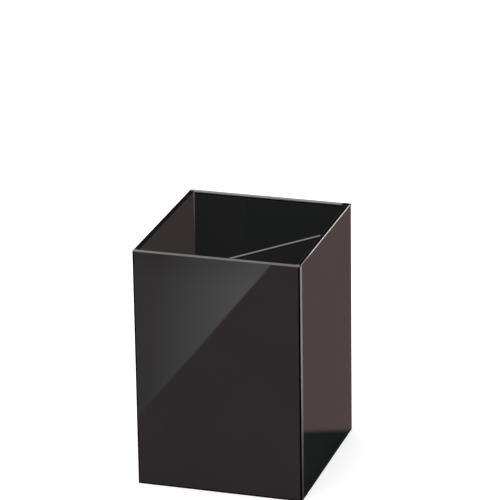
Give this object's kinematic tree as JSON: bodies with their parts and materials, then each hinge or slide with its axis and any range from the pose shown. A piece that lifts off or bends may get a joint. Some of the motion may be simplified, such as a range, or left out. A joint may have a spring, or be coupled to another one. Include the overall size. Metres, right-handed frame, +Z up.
{
  "type": "pen holder cup",
  "caption": "Open-topped box-shaped desk cup of cemented dark acrylic sheets, with a slanting divider that sets off a corner pocket.",
  "frame": {"origin": "centre of the footprint, on the surface the cup stands on", "axes": "+Z up through the open top, +X to the right and +Y to the rear, seen from the front with the pocket at the front right corner"},
  "size_m": [0.0698, 0.0762, 0.1016],
  "materials": {
    "smoke_acrylic_front": "polished",
    "smoke_acrylic_rear": "polished",
    "smoke_acrylic_side": "polished",
    "smoke_acrylic_base": "polished",
    "smoke_acrylic_divider": "polished"
  },
  "bodies": {
    "root": {"front_panel": "smoke_acrylic_front", "rear_panel": "smoke_acrylic_rear", "left_panel": "smoke_acrylic_side", "right_panel": "smoke_acrylic_side", "base_panel": "smoke_acrylic_base", "divider_panel": "smoke_acrylic_divider"}
  },
  "joints": []
}
